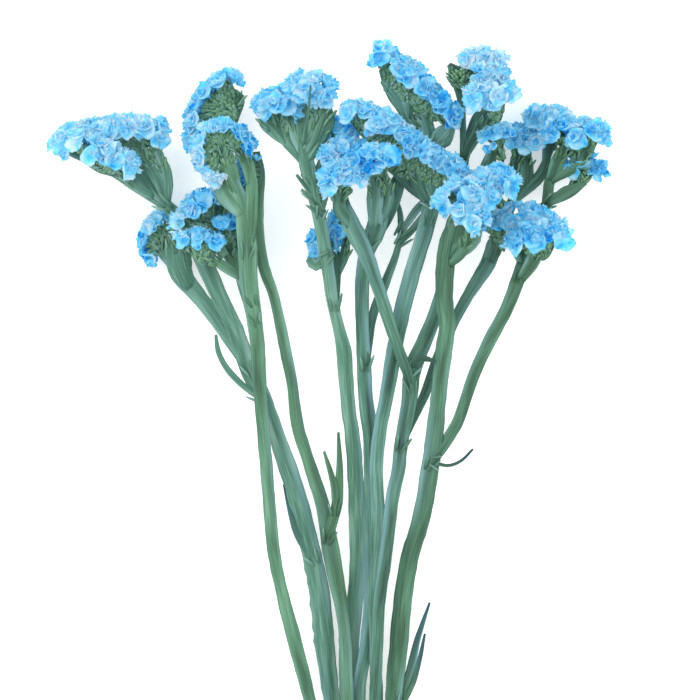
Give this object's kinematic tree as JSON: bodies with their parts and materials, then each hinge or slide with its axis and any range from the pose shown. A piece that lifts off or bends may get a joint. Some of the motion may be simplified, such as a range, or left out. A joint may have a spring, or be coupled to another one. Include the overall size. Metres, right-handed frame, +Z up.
{
  "type": "dried statice bunch",
  "caption": "Loose bunch of dried light-blue statice: winged green stems fan out from a band to flat one-sided heads of papery calyces, lying down.",
  "frame": {"origin": "middle of the bunch's bounding box in plan, at the height of the table it lies on", "axes": "+Y up the stems from the cut ends to the flower heads, +X to the right seen from above, +Z up from the table"},
  "size_m": [0.2386, 0.4186, 0.0711],
  "materials": {
    "stem": "dry grey-green, matte, with fine ribs along it",
    "calyx": "papery, thin and matte, light blue with paler and deeper patches",
    "band": "natural rubber, satin"
  },
  "bodies": {
    "root": {"stem_1": "stem", "stem_2": "stem", "stem_3": "stem", "stem_4": "stem", "stem_5": "stem", "stem_6": "stem", "stem_7": "stem", "stem_8": "stem", "spike_01": "calyx", "spike_02": "calyx", "spike_03": "calyx", "spike_04": "calyx", "spike_05": "calyx", "spike_06": "calyx", "spike_07": "calyx", "spike_08": "calyx", "spike_09": "calyx", "spike_10": "calyx", "spike_11": "calyx", "spike_12": "calyx", "spike_13": "calyx", "spike_14": "calyx", "spike_15": "calyx", "spike_16": "calyx", "spike_17": "calyx", "spike_18": "calyx", "spike_19": "calyx", "spike_20": "calyx", "spike_21": "calyx", "spike_22": "calyx", "spike_23": "calyx", "spike_24": "calyx", "spike_25": "calyx", "spike_26": "calyx", "spike_27": "calyx", "spike_28": "calyx", "spike_29": "calyx", "spike_30": "calyx", "spike_31": "calyx", "spike_32": "calyx", "spike_33": "calyx", "tie": "band"}
  },
  "joints": []
}
